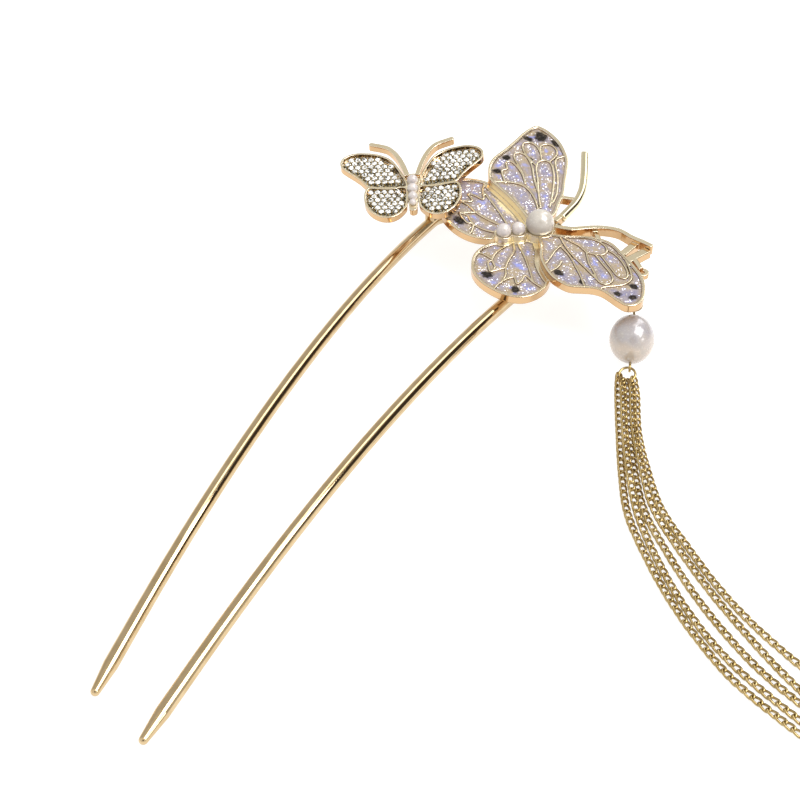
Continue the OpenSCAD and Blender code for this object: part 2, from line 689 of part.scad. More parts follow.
module small_butterfly() {
    color(gold)
        place()
            difference() {
                union() {
                    in_small() {
                        small_right()
                            small_wings();
                        small_left()
                            small_wings();
                        translate([0, 0, -small_t])
                            linear_extrude(small_t)
                                hull() {
                                    translate([0, seed_1_y + seed_1_d / 2])
                                        circle(r = small_body_r);
                                    translate([0, seed_4_y - seed_4_d])
                                        circle(r = small_body_r * 0.6);
                                }
                    }
                    for (p = POSTS)
                        if (p[2] == 1)
                            socket_boss(p);
                }
                in_small()
                    for (s = SEEDS)
                        translate([0, s[0], seed_z])
                            sphere(d = s[1] + 2 * seat_gap);
                for (p = POSTS)
                    if (p[2] == 1)
                        socket_hole(p);
            }
}

module seed_pearl(i) {
    color(pearl_white)
        place() in_small()
            translate([0, SEEDS[i][0], seed_z])
                sphere(d = SEEDS[i][1]);
}

module small_pearl_1() {
    seed_pearl(0);
}

module small_pearl_2() {
    seed_pearl(1);
}

module small_pearl_3() {
    seed_pearl(2);
}

module small_pearl_4() {
    seed_pearl(3);
}

// Stone field: places on a triangular grid that fit inside the bed
function cross_z(a, b) = a[0] * b[1] - a[1] * b[0];
function edge_gap(p, a, b) = let (t = max(0, min(1, ((p - a) * (b - a)) / ((b - a) * (b - a))))) norm(p - a - t * (b - a));
function crossings(p, line) = len([for (i = [0:len(line) - 1]) let (a = line[i], b = around(line, i + 1))
    if ((a[1] > p[1]) != (b[1] > p[1]) && p[0] < (b[0] - a[0]) * (p[1] - a[1]) / (b[1] - a[1]) + a[0]) 1]);
function room(p, line) = min([for (i = [0:len(line) - 1]) edge_gap(p, line[i], around(line, i + 1))]);
stone_pitch = stone_d + stone_space;
stone_room = small_rim + stone_d / 2 + stone_space * 0.3;
function stone_spots(table, shift) = let (line = loop_line(table * small_l, 2), n = ceil(small_l / stone_pitch))
    [for (j = [-n:n], i = [-1:n]) let (p = shift + [(i + (j % 2 == 0 ? 0 : 0.5)) * stone_pitch,
        j * stone_pitch * sqrt(3) / 2]) if (crossings(p, line) % 2 == 1 && room(p, line) > stone_room
        && p[0] > small_body_r + stone_d / 2 + stone_space * 0.8) p];

// One stone: table, crown, girdle and pavilion, all with eight sides
stone_sides = 8;
table_share = 0.56;
crown_h = 0.24;
pavilion_h = 0.62;
stone_depth = bed_depth - stone_space / 2;
function ring8(c, r, z, turn) = [for (k = [0:stone_sides - 1])
    [c[0] + r * cos(360 / stone_sides * (k + turn)), c[1] + r * sin(360 / stone_sides * (k + turn)), z]];
function stone_points(c) = concat(ring8(c, stone_d / 2 * table_share, crown_h - stone_depth + pavilion_h, 0.5),
    ring8(c, stone_d / 2, pavilion_h - stone_depth, 0), [[c[0], c[1], -stone_depth]]);
stone_count = 2 * stone_sides + 1;
function stone_faces(b) = concat([[for (k = [stone_sides - 1:-1:0]) b + k]],
    [for (k = [0:stone_sides - 1]) [b + k, b + (k + 1) % stone_sides, b + stone_sides + (k + 1) % stone_sides]],
    [for (k = [0:stone_sides - 1]) [b + k, b + stone_sides + (k + 1) % stone_sides, b + stone_sides + k]],
    [for (k = [0:stone_sides - 1]) [b + stone_sides + k, b + stone_sides + (k + 1) % stone_sides,
        b + 2 * stone_sides]]);
stone_places = concat(stone_spots(SMALL_FORE, stone_pitch * [0.2, 0.35]),
    stone_spots(SMALL_HIND, stone_pitch * [0.24, -0.24]));

module stones() {
    polyhedron(points = [for (c = stone_places) each stone_points(c)],
        faces = [for (i = [0:len(stone_places) - 1]) each stone_faces(i * stone_count)]);
}

module stones_left() {
    color(stone_clear)
        place() in_small() small_left()
            stones();
}

module stones_right() {
    color(stone_clear)
        place() in_small() small_right()
            stones();
}

// Drop: its frame has Y away from the tassel and Z up
drop_z = norm([drop_long * cos(drop_lean), drop_d * sin(drop_lean)]) / 2;
eye_reach = drop_long / 2 + eye_r + drop_wire / 2 + drill_gap * 1.25;
eye_y = eye_reach * sin(drop_lean);
eye_z = eye_reach * cos(drop_lean);
lug_z = drop_z + eye_z + 2 * link_r;
lug_at = LUG * fore_l;
lug_under = large_z + fore_z - wing_t + lug_at[0] * (sin(wing_lift) - sin(large_roll)) + lug_at[1] * sin(large_pitch);
lug_plan = [large_x, large_y] + turned(lug_at, -large_turn);
function bearing(a) = [sin(a), -cos(a)];
drop_at = lug_plan + eye_y * bearing(drop_turn);
pearl_bands = 60;

module in_drop() {
    translate([drop_at[0], drop_at[1], 0])
        rotate([0, 0, drop_turn])
            children();
}

module wire_ring(r) {
    rotate_extrude()
        translate([r, 0])
            circle(d = drop_wire, $fn = 16);
}

// Lug under the wing, with a short neck up into it
module drop_lug() {
    in_drop()
        translate([0, eye_y, lug_z]) {
            rotate([0, 90, 0])
                wire_ring(eye_r);
            translate([0, 0, eye_r])
                cylinder(d = drop_wire * 1.6, h = lug_under + floor_t / 2 - lug_z - eye_r);
        }
}

module drop_link() {
    color(gold)
        place() in_drop()
            translate([0, eye_y, drop_z + eye_z + link_r])
                rotate([90, 0, 0])
                    wire_ring(link_r);
}

module drop_pin() {
    color(gold)
        place() in_drop()
            translate([0, 0, drop_z])
                rotate([-drop_lean, 0, 0]) {
                    cylinder(d = drop_wire, h = 2 * (eye_reach - eye_r), center = true, $fn = 16);
                    for (s = [-1, 1])
                        translate([0, 0, s * eye_reach])
                            rotate([0, 90, 0])
                                wire_ring(eye_r);
                }
}

module drop_pearl() {
    color(pearl_white)
        place() in_drop()
            translate([0, 0, drop_z])
                rotate([-drop_lean, 0, 0])
                    difference() {
                        rotate_extrude($fn = 72)
                            polygon([for (k = [0:pearl_bands]) let (q = 180 * k / pearl_bands - 90)
                                [drop_d * cos(q), drop_long * sin(q)] / 2]);
                        cylinder(d = drop_wire + 2 * drill_gap, h = drop_long * 1.2, center = true, $fn = 24);
                    }
}

// The tassel ring hangs in the pin's lower eye and leans down to the table
low_eye_z = drop_z - eye_z;
ring_lean = asin((low_eye_z - drop_wire / 2) / (2 * ring_r));

module tassel_ring() {
    color(gold)
        place() in_drop()
            translate([0, -eye_y, low_eye_z])
                rotate([ring_lean, 0, -ring_turn])
                    translate([0, -ring_r, 0])
                        wire_ring(ring_r);
}

// Chain: an eight-sided tube along a strand's line
chain_sides = 8;
chain_r = chain_w / 2;
flat_r = chain_r * cos(180 / chain_sides);
chain_steps = 2;
chain_pitch = chain_w + chain_space;
ring_end = drop_at + eye_y * bearing(drop_turn) + 2 * ring_r * cos(ring_lean) * bearing(drop_turn - ring_turn);
tassel_at = ring_end + chain_pitch * START;
middle_line = [for (m = MIDDLE) tassel_at + tassel_l * m];
function along(i, k) = k == 0 ? ENDS[i][0] : k == len(MIDDLE) - 1 ? ENDS[i][1] : 0;
function strand_spot(i, k) = let (h = heading(middle_line, k), q = middle_line[k]
    + chain_pitch * (BESIDE[i][k] * [-h[1], h[0]] + along(i, k) * h))
    [q[0], q[1], flat_r + (i % 2 == 1 ? STRAND_RISE[k] * chain_pitch : 0)];
function strand_line(i) = [for (p = open_line([for (k = [0:len(MIDDLE) - 1]) strand_spot(i, k)], chain_steps))
    [p[0], p[1], max(p[2], flat_r)]];
function ring_of(line, i) = let (h = heading(line, i), u = unit(cross([0, 0, 1], h)), v = cross(h, u))
    [for (k = [0:chain_sides - 1]) let (a = 360 / chain_sides * (k + 0.5)) line[i] + chain_r * (u * cos(a) + v * sin(a))];

module chain(i) {
    line = strand_line(i);
    n = len(line);
    m = chain_sides;
    color(gold)
        place()
            polyhedron(points = [for (j = [0:n - 1]) each ring_of(line, j)],
                faces = concat([[for (k = [0:m - 1]) k]], [[for (k = [m - 1:-1:0]) (n - 1) * m + k]],
                    [for (j = [0:n - 2], k = [0:m - 1]) [j * m + k, (j + 1) * m + k, (j + 1) * m + (k + 1) % m]],
                    [for (j = [0:n - 2], k = [0:m - 1]) [j * m + k, (j + 1) * m + (k + 1) % m, j * m + (k + 1) % m]]));
}

module chain_1() {
    chain(0);
}

module chain_2() {
    chain(1);
}

module chain_3() {
    chain(2);
}

module chain_4() {
    chain(3);
}

module chain_5() {
    chain(4);
}

fork();
large_butterfly();
enamel_upper_left();
enamel_upper_right();
enamel_lower_left();
enamel_lower_right();
thorax_pearl();
abdomen_pearl_front();
abdomen_pearl_rear();
small_butterfly();
stones_left();
stones_right();
small_pearl_1();
small_pearl_2();
small_pearl_3();
small_pearl_4();
drop_link();
drop_pin();
drop_pearl();
tassel_ring();
chain_1();
chain_2();
chain_3();
chain_4();
chain_5();
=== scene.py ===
import bpy
import math
import numpy as np
from mathutils import Matrix, Vector


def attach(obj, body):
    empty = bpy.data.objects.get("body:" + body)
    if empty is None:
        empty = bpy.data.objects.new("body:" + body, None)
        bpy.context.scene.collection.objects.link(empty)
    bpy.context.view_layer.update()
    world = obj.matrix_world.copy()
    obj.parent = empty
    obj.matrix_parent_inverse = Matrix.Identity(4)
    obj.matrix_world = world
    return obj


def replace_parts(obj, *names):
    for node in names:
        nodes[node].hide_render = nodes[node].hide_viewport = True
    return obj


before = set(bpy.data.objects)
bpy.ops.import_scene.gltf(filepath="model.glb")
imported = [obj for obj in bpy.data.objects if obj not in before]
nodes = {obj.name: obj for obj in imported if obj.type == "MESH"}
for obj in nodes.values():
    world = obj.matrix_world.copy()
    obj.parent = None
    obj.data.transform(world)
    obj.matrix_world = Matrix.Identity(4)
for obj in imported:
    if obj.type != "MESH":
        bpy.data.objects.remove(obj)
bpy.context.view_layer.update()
MM = 0.001

# Places and turns, the same as in the part's source, in millimetres and degrees.
MID = Vector((31.35, 78.12, 0))
LARGE_AT = Vector((10.55, 130.228, 11.051))
LARGE_TURN = (-2.5, 2.4, -46.3)
LARGE_LIFT = 3.8
SMALL_AT = Vector((-15.1, 128.53, 13.68))
SMALL_TURN = (6.7, -5.1, 27.0)
SMALL_LIFT = 2.8
DROP_AT = Vector((35.499, 116.06, 0))
DROP_TURN = 19.5
DROP_LEAN = 56.0
DROP_LONG = 9.1
DROP_D = 8.2
EYE_REACH = 5.475
RING_R = 1.45
RING_TURN = 15.0
RING_WIRE = 0.45

# The tassel, as in the part's source: its middle line in shares of its length, the five strands' distances
# beside it and what they add along it at both ends, in chain pitches, and the rise of every second strand.
TASSEL_L = 95.0
CHAIN_PITCH = 1.52
MIDDLE = [(0, 0), (0.004, -0.029), (0.049, -0.130), (0.101, -0.227), (0.156, -0.311), (0.219, -0.390),
          (0.293, -0.471), (0.373, -0.537), (0.459, -0.591), (0.560, -0.642)]
START = (1.17, -0.33)
BESIDE = [
    [-1.25, -1.30, -1.37, -1.84, -2.47, -2.47, -2.37, -2.53, -2.76, -2.25],
    [-0.74, -0.77, -0.83, -1.10, -1.51, -1.48, -1.38, -1.45, -1.38, -1.00],
    [-0.22, -0.23, -0.29, -0.36, -0.56, -0.10, 0.36, 0.46, 0.36, 0.55],
    [0.29, 0.30, 0.26, 0.38, 0.39, 1.32, 2.11, 2.34, 2.04, 1.57],
    [0.82, 0.84, 0.80, 1.12, 1.38, 2.34, 3.19, 3.72, 4.08, 4.20]]
ENDS = [(0.32, 2.50), (0.28, 1.50), (0, 0), (-0.13, -1.30), (-0.39, -3.80)]
STRAND_RISE = [0.93, 0.92, 0.91, 0.86, 0.45, 0, 0, 0, 0, 0]
RING_ANGLES = [-70, -35, 0, 35, 70]
STRAND_STEPS = 24

# One link of a curb chain, in millimetres: its wire, its pitch, half the length and width of its centre line,
# the exponent that squares this line, its twist, its steps, and how far the first link reaches over the ring.
LINK_WIRE = 0.45
LINK_PITCH = 1.64
LINK_HALF = 1.05
LINK_SIDE = 0.5
LINK_SQUARE = 0.8
LINK_TWIST = 0.17
LINK_STEPS = 18
LINK_SIDES = 8
FIRST_LINK_BACK = 0.05
# Links lie this far above the floor, and their centre lines at this height.
FLOOR_GAP = 0.01
REST_Z = LINK_TWIST + LINK_WIRE / 2 + FLOOR_GAP
# How far each link rolls about its strand, and how fast this changes from link to link and strand to strand.
ROLL = math.radians(6)
ROLL_PER_LINK = 1.7
ROLL_PER_STRAND = 2.1

# The rod over the left antenna: its line in shares of the fore wing's reach, the rest in millimetres.
FORE_L = 30.0
ANTENNA_LEFT = [(0.06, 0.16), (0.11, 0.22), (0.18, 0.30), (0.285, 0.378), (0.43, 0.447), (0.63, 0.525)]
ANTENNA_Z = 0.95
ANTENNA_R = 0.76
ANTENNA_AWAY = 0.28 * np.array([0.892, 0.452, 0.0])
ANTENNA_STEPS = 8
ROD_SIDES = 20
ROD_TIP_STEPS = 6
ROD_TIP_LEAST = 0.02

# The grains between the stones, in millimetres and in shares of the stones' pitch.
GRAIN_R = 0.17
GRAIN_H = 0.42
GRAIN_Z = -0.3
GRAIN_STEPS = 3
GRAIN_SIDES = 8
LEAST_PITCH = 0.3
GRAIN_CLEAR = 0.55

# Ellipses on a wing. Columns: outward from the body, toward the head, half length, half width, all in
# millimetres, and the direction of the length in degrees. First the dark spots.
SPOTS = {
    "upper_left": [(21.7, 0.8, 0.85, 0.78, 93), (18.1, -2.3, 1.02, 0.77, 91), (26.4, 7.0, 1.03, 0.72, 139),
                   (26.6, 9.6, 1.3, 1.6, 101), (23.9, 11.7, 1.22, 0.54, 169), (20.3, 5.4, 0.6, 0.34, 158)],
    "upper_right": [(21.9, 10.1, 1.12, 0.69, 21), (23.3, 6.5, 0.89, 0.65, 10), (25.1, 8.7, 0.86, 0.82, 70),
                    (18.3, 1.5, 0.64, 0.73, 76), (14.4, -1.5, 1.1, 0.8, 10)],
    "lower_left": [(7.1, -13.3, 1.27, 1.16, 122)],
    "lower_right": [(9.9, -13.6, 1.09, 1.22, 112), (15.6, -10.2, 0.82, 1.2, 76)]}
# The cell beside the body that shines cream, on the left.
CREAM_CELL = (8.4, -2.8, 4.6, 1.5, 161)
# The satin walls between the two left wings and about the body.
SATIN_LEFT = (8.4, -2.0, 8.0, 2.6, 161)
SATIN_BODY = (0.0, -3.0, 6.5, 3.2, 90)
# Where the ellipses fade, in shares of their size, and how much the fading wanders.
SPOT_FADE = (0.75, 1.2, 0.22)
CREAM_FADE = (0.6, 1.1, 0.25)
SATIN_FADE = (0.8, 1.1, 0.1)
# Height of the bed under the stones and how far above it its painted shade and painted glints fade, in
# millimetres.
BED_TOP = -0.55
BED_FADE = 0.12

# Linear colours. Those with a number before them are the stops of a ramp.
WIRE_PALE, WIRE_DEEP = (0.65, 0.50, 0.30), (0.57, 0.42, 0.23)
CAST_PALE, CAST_DEEP = (0.97, 0.86, 0.62), (0.92, 0.78, 0.52)
ROD_PALE, ROD_DEEP = (0.84, 0.76, 0.52), (0.76, 0.67, 0.43)
FINE_PALE, FINE_DEEP = (0.50, 0.38, 0.18), (0.39, 0.28, 0.11)
# Painted shade: upright walls of the castings take this peach instead of the gold.
CAST_PAINTED_WALL_SHADE = (0.63, 0.42, 0.23)
CAST_SATIN = (0.98, 0.89, 0.66)
# Painted shade along the walls' upper edges.
CAST_PAINTED_EDGE_SHADE = (0.22, 0.14, 0.08)
# Painted highlight along the tops' rims.
CAST_PAINTED_HIGHLIGHT = (1.0, 0.97, 0.90)
# Painted shade and painted glints in the bed under the stones.
BED_PAINTED_SHADE_AND_GLINTS = [(0.0, (0.10, 0.09, 0.05)), (0.45, (0.34, 0.30, 0.19)), (0.7, (0.95, 0.93, 0.84))]
THORAX_LIGHT, THORAX_SHADE = (0.54, 0.50, 0.44), (0.45, 0.41, 0.37)
DROP_LIGHT, DROP_SHADE = (0.42, 0.38, 0.33), (0.33, 0.30, 0.29)
SEED_LIGHT, SEED_SHADE = (0.62, 0.57, 0.54), (0.52, 0.47, 0.46)
# Painted reflections on the drop pearl: warm, of the floor, on its lower half, and cool above.
PEARL_PAINTED_FLOOR_REFLECTION, PEARL_PAINTED_COOL_REFLECTION = (0.57, 0.46, 0.36), (0.35, 0.33, 0.36)
PEARL_SHEEN = (1.0, 0.86, 0.9)
ENAMEL_CLOUDS = [(0.36, (0.21, 0.19, 0.28)), (0.50, (0.28, 0.24, 0.27)), (0.60, (0.36, 0.28, 0.18)),
                 (0.72, (0.30, 0.21, 0.11))]
ENAMEL_BLUE = (0.23, 0.27, 0.70)
ENAMEL_MARGIN = (0.31, 0.23, 0.12)
# Painted shade in a thin line beside the veins.
ENAMEL_PAINTED_SHADE = (0.15, 0.11, 0.06)
ENAMEL_MILK = (0.58, 0.52, 0.46)
ENAMEL_CREAM = (0.80, 0.66, 0.38)
FLECKS = [(0.0, (0.60, 0.68, 1.0)), (0.35, (0.95, 0.93, 0.95)), (0.7, (1.0, 0.96, 0.88)),
          (1.0, (0.95, 0.80, 0.85))]
SPOT_BLACKS = [(0.40, (0.006, 0.004, 0.003)), (0.62, (0.035, 0.026, 0.018)), (0.80, (0.16, 0.13, 0.11))]
# Painted reflections of the stones' facets, dark to white.
CRYSTAL_PAINTED_REFLECTIONS = [(0.0, (0.04, 0.035, 0.02)), (0.20, (0.26, 0.24, 0.18)), (0.38, (0.92, 0.92, 0.90)),
                  (1.0, (1.0, 1.0, 1.0))]
FLOOR_GREYS = [(0.3, (0.36, 0.36, 0.36)), (0.7, (0.38, 0.38, 0.38))]
FLOOR_GLOW = 0.81
FLOOR_Z = -2e-5
FLOOR_HALF = 3.0

# The sky: behind the object, before it, and low down. Columns of its darker zones: direction, cosines within
# which the zone is full and outside which it has ended, and colour.
SKY_BACK, SKY_FRONT, SKY_LOW = (0.64, 0.63, 0.61), (1.05, 1.03, 1.0), (0.95, 0.93, 0.90)
SKY_ZONES = [((0.62, 0.68, 0.38), 0.965, 0.90, (0.06, 0.05, 0.045)),
             ((0.346, -0.684, 0.643), 0.975, 0.93, (0.06, 0.05, 0.045)),
             ((0.15, 0.98, 0.08), 0.985, 0.93, (0.30, 0.27, 0.22))]
# Columns: name, direction from the object, distance, width and height in metres, and power in watts.
LIGHTS = [("light_top", (0.50, 0.12, 0.86), 0.9, 0.6, 0.6, 6.9),
          ("light_strip", (0.12, 0.684, 0.72), 0.9, 0.30, 0.9, 2.0),
          ("light_right", (0.90, -0.05, 0.43), 1.0, 0.16, 0.16, 0.45)]
# The camera: the place it looks at, in metres, its distance from there in millimetres, its angles, the width
# of its sensor, and its focal length and the picture's width in pixels.
TARGET = Vector((3.528, 86.352, 0)) * MM - MID * MM
CAMERA_FAR = 364.367
AZIMUTH, ELEVATION = math.radians(26.85), math.radians(40.0)
SENSOR = 36.0
FOCAL_PIXELS = 2051.97
PICTURE_PIXELS = 800

# Ranges, as span takes them. Where most values of a noise lie; height of a normal, from level to upright and
# from upright to level; cosine between a face and its rounded edge, from flat to fully rounded; height of a
# rounded normal, where a painted shade darkens a wall's upper edge and a painted highlight lights a top's
# rim;
# the sky's turn to its front and to its low part, by the direction's Y and Z.
MOST = (0.3, 0.7)
UPRIGHT = (0.75, 0.35)
LEVEL = (0.7, 0.9)
ROUNDED = (0.995, 0.86)
WALL_PAINTED_SHADE = (0.12, 0.45, 0.0, 0.8)
RIM_PAINTED_HIGHLIGHT = (0.97, 0.80, 0.0, 0.7)
TO_FRONT = (0.05, -0.25)
TO_LOW = (0.20, 0.04)
# Mosaic cells per millimetre, and the depth of bumps and width of edges in millimetres. The narrower enamel
# edge is a painted shade beside the veins.
BED_CELLS = 2.6
GLITTER_CELLS = 5.2
CRYSTAL_CELLS = 3.0
FINE_BUMP = 0.02
ENAMEL_BUMP = 0.06
ENAMEL_MARGIN_W = 1.5
ENAMEL_PAINTED_SHADE_W = 0.4
BEVEL_SAMPLES = 6


def turn(angles):
    """Rotation as the part's source applies it: about X, then Y, then Z."""
    x, y, z = (math.radians(a) for a in angles)
    return Matrix.Rotation(z, 4, "Z") @ Matrix.Rotation(y, 4, "Y") @ Matrix.Rotation(x, 4, "X")


def placed(at, angles, lift=0.0, left=False):
    """Matrix from a wing's own millimetres to the frame's metres."""
    m = Matrix.Translation(at - MID) @ turn(angles)
    if left:
        m = m @ Matrix.Diagonal((-1, 1, 1, 1))
    return Matrix.Scale(MM, 4) @ m @ Matrix.Rotation(math.radians(-lift), 4, "Y")


LARGE_BODY = placed(LARGE_AT, LARGE_TURN)
LARGE_WING = {"left": placed(LARGE_AT, LARGE_TURN, LARGE_LIFT, True),
              "right": placed(LARGE_AT, LARGE_TURN, LARGE_LIFT)}
SMALL_WING = {"left": placed(SMALL_AT, SMALL_TURN, SMALL_LIFT, True),
              "right": placed(SMALL_AT, SMALL_TURN, SMALL_LIFT)}


# Nodes of a material or of the sky, in the tree t. Scales of noise and mosaics are per millimetre.

def node(t, kind, **values):
    """A new node; each value goes to its socket of that name, or else to its property."""
    n = t.nodes.new(kind)
    for k, v in values.items():
        if k in n.inputs:
            n.inputs[k].default_value = v
        else:
            setattr(n, k, v)
    return n


def put(t, socket, value):
    """Link the value to the socket where it is a socket itself, and set the socket's own value otherwise."""
    if isinstance(value, bpy.types.NodeSocket):
        t.links.new(value, socket)
    elif socket.type == "RGBA":
        socket.default_value = (*value, 1)
    else:
        socket.default_value = value


def dress(t, shader, **values):
    """Put the values on the shader's sockets, whose names have spaces for the underscores."""
    for k, v in values.items():
        put(t, shader.inputs[k.replace("_", " ")], v)


def where(t):
    """The place on the object, in millimetres."""
    c = t.nodes.new("ShaderNodeTexCoord")
    m = node(t, "ShaderNodeVectorMath", operation="SCALE", Scale=1 / MM)
    t.links.new(c.outputs["Object"], m.inputs[0])
    return m.outputs[0]


def noise(t, at, scale, detail=2.0, roughness=0.5):
    n = node(t, "ShaderNodeTexNoise", Scale=scale, Detail=detail, Roughness=roughness)
    t.links.new(at, n.inputs["Vector"])
    return n.outputs["Fac"]


def ramp(t, value, stops):
    r = t.nodes.new("ShaderNodeValToRGB")
    e = r.color_ramp.elements
    while len(e) < len(stops):
        e.new(0.5)
    for k, (p, c) in enumerate(stops):
        e[k].position = p
        e[k].color = (*c, 1)
    t.links.new(value, r.inputs[0])
    return r.outputs[0]


def span(t, value, low, high, to_low=0.0, to_high=1.0):
    """The value's range from low to high, as a range from to_low to to_high, and no further."""
    m = node(t, "ShaderNodeMapRange", clamp=True)
    for k, v in enumerate((low, high, to_low, to_high)):
        m.inputs[k + 1].default_value = v
    t.links.new(value, m.inputs[0])
    return m.outputs[0]


def clouds(t, at, scale, low, high):
    """Soft noise between low and high."""
    return span(t, noise(t, at, scale), *MOST, low, high)


def bump(t, relief, strength, distance, normal=None):
    b = node(t, "ShaderNodeBump", Strength=strength, Distance=distance)
    t.links.new(relief, b.inputs["Height"])
    if normal is not None:
        t.links.new(normal, b.inputs["Normal"])
    return b.outputs[0]


def mixed(t, share, a, b):
    """Colour a where share is 0, colour b where it is 1."""
    m = node(t, "ShaderNodeMix", data_type="RGBA")
    for k, v in ((0, share), (6, a), (7, b)):
        put(t, m.inputs[k], v)
    return m.outputs[2]


def maths(t, operation, a, b=0.0):
    m = node(t, "ShaderNodeMath", operation=operation)
    put(t, m.inputs[0], a)
    put(t, m.inputs[1], b)
    return m.outputs[0]


def vectors(t, operation, a, b):
    """Vector arithmetic. DOT_PRODUCT gives a number, and b is one for SCALE."""
    m = node(t, "ShaderNodeVectorMath", operation=operation)
    put(t, m.inputs[0], a)
    put(t, m.inputs["Scale"] if operation == "SCALE" else m.inputs[1], b)
    return m.outputs["Value"] if operation == "DOT_PRODUCT" else m.outputs[0]


def height(t, vector):
    """Z of a direction or a place."""
    xyz = t.nodes.new("ShaderNodeSeparateXYZ")
    t.links.new(vector, xyz.inputs[0])
    return xyz.outputs["Z"]


def face_normal(t, kind="Normal"):
    return t.nodes.new("ShaderNodeNewGeometry").outputs[kind]


def rounded_normal(t, radius):
    """The surface normal, as if the edges were rounded by a radius in millimetres."""
    return node(t, "ShaderNodeBevel", samples=BEVEL_SAMPLES, Radius=radius * MM).outputs[0]


def cells(t, at, scale):
    """Random colour of each cell of a fine mosaic."""
    c = node(t, "ShaderNodeTexVoronoi", Scale=scale, Randomness=1.0)
    t.links.new(at, c.inputs["Vector"])
    return c.outputs["Color"]


def channels(t, colour):
    split = t.nodes.new("ShaderNodeSeparateColor")
    t.links.new(colour, split.inputs[0])
    return split.outputs


def tilted(t, colour, amount):
    """Surface normal, tilted at random by a mosaic's colours."""
    lean = vectors(t, "SCALE", vectors(t, "SUBTRACT", colour, (0.5, 0.5, 0.5)), amount)
    unit = node(t, "ShaderNodeVectorMath", operation="NORMALIZE")
    t.links.new(vectors(t, "ADD", face_normal(t), lean), unit.inputs[0])
    return unit.outputs[0]


def near_edge(t, radius):
    """1 at a face's edges, 0 from about the radius inward."""
    cosine = vectors(t, "DOT_PRODUCT", face_normal(t, "True Normal"), rounded_normal(t, radius))
    return span(t, cosine, *ROUNDED)


def patch(t, at, wing, row, fade):
    """1 inside an ellipse on a wing, 0 outside."""
    x, y, half, width, angle = row
    low, high, ragged = fade
    a = math.radians(angle)
    m = wing.to_3x3()
    along = (m @ Vector((math.cos(a), math.sin(a), 0))).normalized() / half
    across = (m @ Vector((-math.sin(a), math.cos(a), 0))).normalized() / width
    off = vectors(t, "SUBTRACT", at, (wing @ Vector((x, y, 0))) / MM)
    squares = [maths(t, "POWER", maths(t, "ABSOLUTE", vectors(t, "DOT_PRODUCT", off, axis)), 2)
               for axis in (along, across)]
    reach = maths(t, "SQRT", maths(t, "ADD", *squares))
    reach = maths(t, "ADD", reach, clouds(t, at, 1.6, -ragged, ragged))
    return span(t, reach, low, high, 1.0, 0.0)


def patches(t, at, rows, fade):
    """1 inside any of the ellipses. A row is a wing's matrix and the ellipse on it."""
    most = None
    for wing, row in rows:
        one = patch(t, at, wing, row, fade)
        most = one if most is None else maths(t, "MAXIMUM", most, one)
    return most


# Materials

def material(name):
    """An empty material, its tree and its shader."""
    m = bpy.data.materials.new(name)
    m.use_nodes = True
    t = m.node_tree
    t.nodes.clear()
    out = t.nodes.new("ShaderNodeOutputMaterial")
    s = t.nodes.new("ShaderNodeBsdfPrincipled")
    t.links.new(s.outputs[0], out.inputs[0])
    return m, t, s


def casting(t, at, tint, rough, bevel, beds=(), satins=()):
    """What a casting has besides its gold: a painted shade on upright walls, painted shade and painted glints
    in the bed under the stones, satin walls that are rougher and pale instead of shaded, and edges that look
    rounded, with a painted shade along the walls' upper edges and a painted highlight along the tops' rims.
    Gives the tint, roughness and normal."""
    level = height(t, face_normal(t))
    upright = span(t, level, *UPRIGHT)
    # Painted shade on the upright walls.
    tint = mixed(t, upright, tint, CAST_PAINTED_WALL_SHADE)
    # Painted shade and painted glints in the bed under the stones, fading upward.
    for wing in beds:
        up = (wing.to_3x3() @ Vector((0, 0, 1))).normalized()
        bed = (wing @ Vector((0, 0, 0))).dot(up) / MM + BED_TOP
        low_down = span(t, vectors(t, "DOT_PRODUCT", at, up), bed + BED_FADE, bed)
        painted_shade_and_glints = ramp(t, channels(t, cells(t, at, BED_CELLS))[0], BED_PAINTED_SHADE_AND_GLINTS)
        tint = mixed(t, maths(t, "MULTIPLY", low_down, span(t, level, *LEVEL)), tint, painted_shade_and_glints)
    if satins:
        satin = maths(t, "MULTIPLY", patches(t, at, satins, SATIN_FADE), upright)
        tint = mixed(t, satin, tint, CAST_SATIN)
        rough = maths(t, "ADD", rough, maths(t, "MULTIPLY", satin, 0.35))
    normal = rounded_normal(t, bevel)
    risen = height(t, normal)
    # Painted shade along the walls' upper edges.
    tint = mixed(t, maths(t, "MULTIPLY", upright, span(t, risen, *WALL_PAINTED_SHADE)), tint, CAST_PAINTED_EDGE_SHADE)
    # Painted highlight along the tops' rims.
    painted_highlight = maths(t, "MULTIPLY", maths(t, "SUBTRACT", 1, upright), span(t, risen, *RIM_PAINTED_HIGHLIGHT))
    return mixed(t, painted_highlight, tint, CAST_PAINTED_HIGHLIGHT), rough, normal


def gold(name, pale, deep, low, high, grain=0.08, **cast):
    """Polished metal with a roughness from low to high. A casting has more, which cast says."""
    m, t, s = material(name)
    at = where(t)
    tint = ramp(t, noise(t, at, 0.35, 3), [(0.35, deep), (0.65, pale)])
    rough = span(t, noise(t, at, 2.2, 4, 0.6), 0.35, 0.7, low, high)
    normal = None
    if cast:
        tint, rough, normal = casting(t, at, tint, rough, **cast)
    dress(t, s, Metallic=1.0, Base_Color=tint, Roughness=rough,
          Normal=bump(t, noise(t, at, 5.0, 3), grain, FINE_BUMP * MM, normal))
    return m


